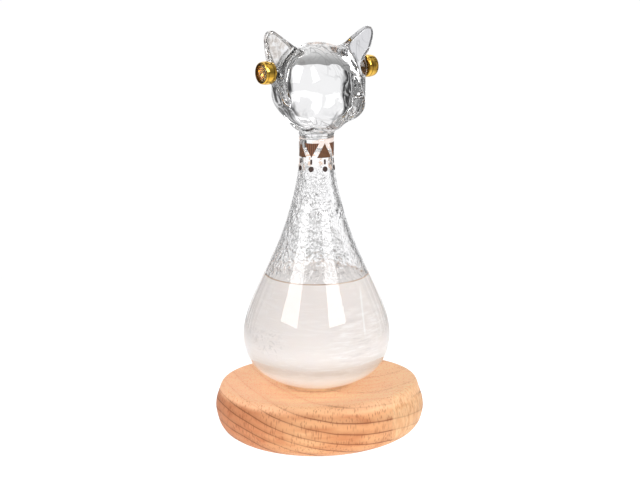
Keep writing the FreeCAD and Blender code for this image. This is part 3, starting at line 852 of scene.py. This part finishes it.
def head_field(grid):
    x, y, z = grid
    # skull: radius by direction from its middle, so that crown and sides stay smooth
    middle, widen, flatten = 181.0, 1.03, 0.93
    outline = np.array(SKULL)
    rise = outline[:, 1] - middle
    radius = np.sqrt((x / widen) ** 2 + (y / flatten) ** 2)
    reach = np.interp(np.arctan2(z - middle, radius), np.arctan2(rise, outline[:, 0]),
                      np.hypot(outline[:, 0], rise))
    skull = (np.sqrt(radius ** 2 + (z - middle) ** 2) - reach) * flatten
    neck = np.sqrt(x ** 2 + y ** 2) - NECK_RADIUS
    share = smooth01(z, 159.0, 164.0)
    field = skull * share + neck * (1 - share)
    # muzzle pads and cheeks
    for side in (-1, 1):
        field = smin(field, ellipsoid(grid, (side * 5.0, -14.4, 171.6), (6.2, 5.2, 5.2)), 3.5)
        field = smin(field, ellipsoid(grid, (side * 13.2, -8.8, 174.5), (8.2, 7.6, 7.6)), 5.0)
    # nose and chin
    field = smin(field, ellipsoid(grid, (0, -17.4, 177.0), (2.8, 4.2, 4.2)), 2.6)
    field = smin(field, ellipsoid(grid, (0, -12.4, 166.6), (4.6, 4.8, 3.8)), 3.5)
    # flat brow between the ears, sloping back
    field = smax(field, (-0.894 * y + 0.447 * z) - 100.3, 4.0)
    # eye hollows
    for side in (-1, 1):
        eye = ellipsoid(grid, (side * 8.6, -21.6, 182.5), (6.0, 4.4, 5.0))
        field = smax(field, -eye, 4.5)
    for side in (-1, 1):
        field = smin(field, ear_field(grid, side), 4.6)
    # bond blobs behind the earrings
    for side in (-1, 1):
        field = smin(field, ellipsoid(grid, (side * 26.2, -1.6, 191.4), (2.6, 4.4, 4.6)), 2.0)
    return field


def build_head(join):
    head = solid("cat_head_glass", head_field, low=(-36.0, -26.0, 156.0),
                 high=(36.0, 25.0, 215.5), step=0.45, relax=6,
                 floor=NECK_TOP)
    mesh = head.data

    def at_neck(vertex):
        return abs(vertex.co.z - NECK_TOP * MM) < 1e-6

    # meet the rim of the neck exactly
    for vertex in filter(at_neck, mesh.vertices):
        radius = math.hypot(vertex.co.x, vertex.co.y)
        if radius > 1e-4:
            vertex.co.x *= NECK_RADIUS * MM / radius
            vertex.co.y *= NECK_RADIUS * MM / radius
    mesh.update()
    caps = [int(all(at_neck(mesh.vertices[i]) for i in face.vertices)) for face in mesh.polygons]
    mesh.polygons.foreach_set("use_smooth", [not cap for cap in caps])

    # hand-worked glass is never quite even
    flat = np.empty(len(mesh.vertices) * 3)
    mesh.vertices.foreach_get("normal", flat)
    normals = flat.reshape(-1, 3).copy()
    mesh.vertices.foreach_get("co", flat)
    points = flat.reshape(-1, 3) * 1000.0
    swell = 0.13 * noise3(points / 7.5, 61)
    swell = swell + 0.035 * noise3(points * [0.34, 0.34, 0.22] + 9.0, 62)
    points += normals * (swell * smooth01(points[:, 2], 160.0, 163.0))[:, None]
    mesh.vertices.foreach_set("co", (points / 1000.0).ravel())
    mesh.update()
    mesh.transform(Matrix.Rotation(HEAD_TURN, 4, "Z"))
    set_slots(head, [glass("clear_glass_gathered", GLASS_IOR, tint=head_cords_and_painted_shade), join], caps)
    assign(head, "clear_glass", "bottle", "cat_head", "left_ear", "right_ear",
           "left_earring_bond", "right_earring_bond")


# ================================================================ earrings
EARRING_CENTRE = Vector((0, -1.5, 192.0))  # on the axis of both earrings, before the head's turn
# Outline of the cup, (radius, distance out from the centre)
CUP = [
    (0.0, 28.0), (4.1, 28.0), (4.9, 28.12), (5.28, 28.5), (5.5, 29.2), (5.62, 30.2),
    (5.66, 31.1), (5.62, 32.0), (5.48, 33.0), (5.3, 33.7), (5.16, 34.0), (4.98, 34.16),
    (4.78, 34.2), (4.56, 34.15), (4.42, 34.0), (4.37, 33.4), (4.35, 32.72), (1.0, 30.6),
    (0.0, 30.6)]
CUP_LIP = range(12, 15)  # pieces of the outline along the inside of the lip
# Corners of the cut stone: radius, distance out, turn in corner steps, number of corners
STONE = [
    (0.0, 30.72, 0.0, 1), (2.6, 31.72, 0.5, 8), (4.28, 32.74, 0.0, 16), (4.28, 33.02, 0.0, 16),
    (3.35, 33.62, 0.5, 8), (2.35, 33.92, 0.0, 8), (0.0, 33.92, 0, 1)]


def build_cup(name, materials):
    outline = [CUP[0]]
    for a, b in zip(CUP, CUP[1:]):
        outline += [(a[0] + (b[0] - a[0]) * k / 2, a[1] + (b[1] - a[1]) * k / 2) for k in (1, 2)]
    slots = [int(k // 2 in CUP_LIP) for k in range(len(outline) - 1)]
    return lathe(name, outline, 72, materials, slots)


def facets(low, high):
    """Faces between two rows of corners."""
    sizes = len(low), len(high)
    faces = []
    for j in range(8 if 8 in sizes else 16):
        after = (j + 1) % 8
        even, odd, even_after = 2 * j, 2 * j + 1, (2 * j + 2) % 16
        if sizes == (1, 8):
            faces += [(low[0], high[after], high[j])]
        elif sizes == (8, 1):
            faces += [(low[j], low[after], high[0])]
        elif sizes == (16, 16):
            after = (j + 1) % 16
            faces += [(low[j], low[after], high[after], high[j])]
        elif sizes == (8, 16):
            faces += [(low[j], high[even_after], high[odd]), (low[j], high[odd], high[even]),
                      (low[j], low[after], high[even_after])]
        elif sizes == (16, 8):
            faces += [(high[j], low[even], low[odd]), (high[j], low[odd], low[even_after]),
                      (low[even_after], high[after], high[j])]
        else:
            faces += [(low[j], low[after], high[after]), (low[j], high[after], high[j])]
    return faces


def build_stone(name, material):
    points, faces, rows = [], [], []
    for radius, height, turn, count in STONE:
        rows.append(list(range(len(points), len(points) + count)))
        for j in range(count):
            angle = math.tau * (j + turn) / count
            points.append((radius * math.cos(angle), radius * math.sin(angle), height))
    for low, high in zip(rows, rows[1:]):
        faces += facets(low, high)
    stone = mesh_object(name, points, faces, smooth=False)
    with edited(stone.data) as bm:
        bmesh.ops.recalc_face_normals(bm, faces=bm.faces)
    set_slots(stone, [material])
    return stone


def build_earrings():
    cup_materials = [gold(), mottled("gold_bezel_shadow", srgb(46, 26, 12), srgb(96, 58, 22),
                                     {"Roughness": 0.3, "Metallic": 0.8})]
    amber = mottled("amber_stone_cut", srgb(255, 245, 206), srgb(255, 236, 184),
                    {"Roughness": 0.0, "IOR": 1.7, "Transmission Weight": 0.92},
                    scale=260.0, detail=2.0)
    for word, side in (("left", 1), ("right", -1)):
        # the upright pieces are laid over to point sideways out of the head
        outward = (Matrix.Rotation(HEAD_TURN, 4, "Z")
                   @ Matrix.Translation(EARRING_CENTRE * MM)
                   @ Matrix.Rotation(math.radians(90) * side, 4, "Y"))
        cup = build_cup(word + "_earring_gold", cup_materials)
        cup.data.transform(outward)
        assign(cup, "gold", "bottle", word + "_earring_cup")
        stone = build_stone(word + "_earring_stone", amber)
        stone.data.transform(outward)
        assign(stone, "amber_stone", "bottle", word + "_earring_gem")


# ================================================================ wooden base
# Width of the base by height, (height, part of the full width)
BASE_WIDTHS = [
    (-3, 0.42), (0, 0.55), (1, 0.61), (2.5, 0.72), (5, 0.84), (8, 0.92), (12, 0.965),
    (16, 0.985), (20, 1.0), (24, 0.99), (27, 0.97), (30, 0.95), (32, 0.94), (34, 0.925),
    (37, 0.90), (40, 0.88)]
BASE_MIDDLE_X = 1.5
BASE_HALF_X, BASE_HALF_Y = 53.5, 48.2
DISH_LOWEST, DISH_RADIUS, DISH_MIDDLE_X = 30.3, 440.0, -8.9


def base_field(grid):
    """Pebble with a shallow dish on top and a seat for the bottle."""
    x, y, z = grid
    heights = np.linspace(-3, 40, 400)
    widths = np.interp(heights, *zip(*BASE_WIDTHS))
    window = np.hanning(31)
    widths = np.convolve(np.pad(widths, 15, mode="edge"), window / window.sum(), mode="valid")
    # the underside lies higher towards the right
    lift = (1.2 + 0.02 * x) * (1 - smooth01(z, 6.0, 18.0))
    width = np.interp(z - lift, heights, widths)
    spread = np.sqrt(((x - BASE_MIDDLE_X) / BASE_HALF_X) ** 2 + (y / BASE_HALF_Y) ** 2) + 1e-9
    to_mm = 50.0 * 0.9  # rough scale from parts of the width to distance
    side = (spread - width) * to_mm
    bowl = np.sqrt(np.maximum(DISH_RADIUS ** 2 - (x - DISH_MIDDLE_X) ** 2 - y ** 2, 0))
    field = smax(side, z - (DISH_LOWEST + DISH_RADIUS - bowl), 2.2)
    seat = spline(SHELL, 400)[:120]
    seat_gap = 0.05
    seat_height = np.interp(np.hypot(x, y), seat[:, 0], seat[:, 1]) - seat_gap
    return smax(field, z - seat_height, 0.3)


def build_base():
    base = solid("pebble_base", base_field, low=(-57.0, -53.0, -2.0), high=(60.0, 53.0, 39.0),
                 step=0.8, relax=3, floor=0.5)
    set_slots(base, [wood()])
    assign(base, "wood", "base", "wooden_base")


# ================================================================ carried CAD nodes
def dress_carried_nodes():
    carried = {
        "base_pad": felt(),
        "feather_crystals": mottled("crystal_white", (0.86, 0.86, 0.85, 1),
                                    (0.95, 0.95, 0.94, 1), {"Roughness": 0.25}),
        "fill_plug": mottled("plug_silicone", (0.62, 0.6, 0.56, 1), (0.7, 0.68, 0.64, 1),
                             {"Roughness": 0.5}),
        "plug_seal": mottled("seal_resin", (0.8, 0.8, 0.78, 1), (0.86, 0.86, 0.84, 1),
                             {"Roughness": 0.12, "Transmission Weight": 0.6}),
        "collar_upright_triangles": printed("print_hatched_level", level_hatch,
                                            srgb(66, 38, 22), srgb(146, 98, 62)),
        "collar_inverted_triangles": printed("print_hatched_upright", upright_hatch,
                                             srgb(70, 40, 24), srgb(158, 106, 76)),
        "collar_dashes": printed("print_dash", speckle),
        "collar_dots": printed("print_dot", speckle),
    }
    for name, material in carried.items():
        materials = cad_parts[name].data.materials
        materials.clear()
        materials.append(material)


# ================================================================ floor, light, camera
def floor_white():
    """White floor that glows evenly, but in reflections darkens towards its edge."""
    net = material_net("floor_white")
    diffuse = net.node("BsdfDiffuse", {"Color": (0.5, 0.5, 0.5, 1)})
    distance = net.vector("LENGTH", net.place(), output="Value")
    falling = net.ramp(net.times(distance, 1 / FLOOR_RADIUS), [(0.3, 0.7), (0.95, 0.02)], "EASE")
    ray = net.node("LightPath").outputs
    direct = net.maths("MAXIMUM", ray["Is Camera Ray"], ray["Is Diffuse Ray"])
    glow = net.node("Emission", {"Strength": net.mix(falling, (0.78, 0.78, 0.78, 1), direct)})
    return net.finish(net.node("AddShader", {0: diffuse.outputs[0], 1: glow.outputs[0]}))


def build_floor():
    mesh = bpy.data.meshes.new("floor")
    with edited(mesh) as bm:
        bmesh.ops.create_circle(bm, cap_ends=True, segments=96, radius=FLOOR_RADIUS)
    floor = bpy.data.objects.new("floor", mesh)
    scene.collection.objects.link(floor)
    mesh.materials.append(floor_white())


# Bright and dark bands by distance off the line of sight, (sine of the angle, grey)
FLAGS = [
    (0.0, 1.0), (0.40, 1.0), (0.455, 0.2), (0.475, 0.03), (0.515, 0.03), (0.524, 0.5),
    (0.536, 0.6), (0.546, 0.03), (0.585, 0.03), (0.60, 0.65), (0.62, 0.75), (0.635, 0.05),
    (0.68, 0.05), (0.695, 0.65), (0.715, 0.8), (0.73, 0.06), (0.80, 0.05), (0.815, 0.5),
    (0.84, 0.7), (0.855, 0.06), (0.91, 0.06), (0.93, 0.6), (0.95, 0.3), (1.0, 0.45)]
# Room behind the camera, (height from 0 straight down to 1 straight up, grey)
ROOM = [(0.30, 0.5), (0.5, 0.16), (0.75, 0.25), (0.95, 0.8)]


def build_world():
    """Bright straight behind the object, dark flags round it, a dim room behind the camera."""
    world = bpy.data.worlds.new("studio")
    scene.world = world
    net = Net(world)
    generated = net.node("TexCoord").outputs["Generated"]
    seen = net.node("VectorTransform", {0: generated}, vector_type="VECTOR",
                    convert_from="WORLD", convert_to="CAMERA").outputs[0]
    direction = net.vector("NORMALIZE", seen)
    x, y, z = net.split(direction)
    upwards = net.times(net.maths("MAXIMUM", y, 0.0), 0.36)
    off_axis = net.hypot(net.maths("ABSOLUTE", x), upwards)
    # noise makes the bands uneven, and they crowd together in the rims of the glass
    stir = net.noise(direction, scale=2.9, detail=2.0)
    shift = net.times(net.maths("SUBTRACT", stir, 0.5), 0.22)
    flags = net.ramp(net.maths("ADD", off_axis, shift),
                     [(at, (grey, grey, grey * 1.01, 1)) for at, grey in FLAGS])
    flags = net.mix(flags, (1.16, 1.16, 1.16, 1), share=1.0, blend="MULTIPLY")
    room = net.ramp(net.scaled(y, factor=0.5, plus=0.5), ROOM)
    colour = net.mix(flags, room, net.maths("LESS_THAN", z, 0.0))
    # even light for diffuse rays, plain white for the camera
    ray = net.node("LightPath").outputs
    colour = net.mix(colour, (0.70, 0.70, 0.70, 1.0), ray["Is Diffuse Ray"])
    colour = net.mix(colour, (1.02, 1.02, 1.02, 1.0), ray["Is Camera Ray"])
    net.finish(net.node("Background", {"Color": colour, "Strength": 1.0}))


def panel(name, azimuth, distance, lowest, highest, half_width, radiance,
          glossy=True, diffuse=True):
    """Upright lamp panel. All angles are in degrees, seen from the bottle.

    azimuth runs from the front towards +X, lowest and highest are elevations.
    """
    bottle_height = 0.09
    bottom, top = (bottle_height + distance * math.tan(math.radians(elevation))
                   for elevation in (lowest, highest))
    width, height = 2 * distance * math.tan(math.radians(half_width)), top - bottom
    light = bpy.data.lights.new(name, "AREA")
    light.shape = "RECTANGLE"
    light.size, light.size_y = width, height
    light.energy = radiance * math.pi * width * height
    ob = bpy.data.objects.new(name, light)
    scene.collection.objects.link(ob)
    angle = math.radians(azimuth)
    out_x, out_y = math.sin(angle), -math.cos(angle)
    ob.location = (out_x * distance, out_y * distance, (bottom + top) / 2)
    ob.rotation_euler = Vector((-out_x, -out_y, 0)).to_track_quat("-Z", "Y").to_euler()
    ob.visible_camera = False
    ob.visible_glossy = glossy
    ob.visible_transmission = glossy
    ob.visible_diffuse = diffuse


def build_lights():
    """Two tall panels that show as bright bars on the glass, and a broad soft key for the rest."""
    panel("bar_left", azimuth=-47.5, distance=1.1, lowest=18.2, highest=56, half_width=15.5,
          radiance=6.4, diffuse=False)
    panel("bar_right", azimuth=36.3, distance=1.1, lowest=19.8, highest=56, half_width=15.0,
          radiance=6.4, diffuse=False)
    panel("key_soft", azimuth=20, distance=1.3, lowest=8, highest=48, half_width=34,
          radiance=1.15, glossy=False)


def build_camera():
    camera_x = 0.00173
    data = bpy.data.cameras.new("camera")
    data.lens = 79.92
    data.sensor_width = 36.0
    data.clip_start = 0.01
    camera = bpy.data.objects.new("camera", data)
    scene.collection.objects.link(camera)
    camera.location = (camera_x, -0.700, 0.2586)
    look = Vector((camera_x, 0.0, 0.106)) - Vector(camera.location)
    camera.rotation_euler = look.to_track_quat("-Z", "Y").to_euler()
    scene.camera = camera


def set_render():
    scene.view_settings.view_transform = "Standard"
    cycles = scene.cycles
    cycles.use_denoising = True
    cycles.max_bounces = 24
    cycles.transmission_bounces = 24
    cycles.transparent_max_bounces = 24
    cycles.glossy_bounces = 8
    cycles.diffuse_bounces = 4


# ================================================================ build
bore = spline(BORE, 6000)
wet_bore = bore[bore[:, 1] <= LEVEL + CLIMB]
dry_bore = bore[len(wet_bore):]
fused_join = clear_join()

build_vessel(wet_bore, dry_bore, fused_join)
build_liquid(wet_bore)
build_head(fused_join)
build_earrings()
build_base()
dress_carried_nodes()
build_floor()
build_world()
build_lights()
build_camera()
set_render()
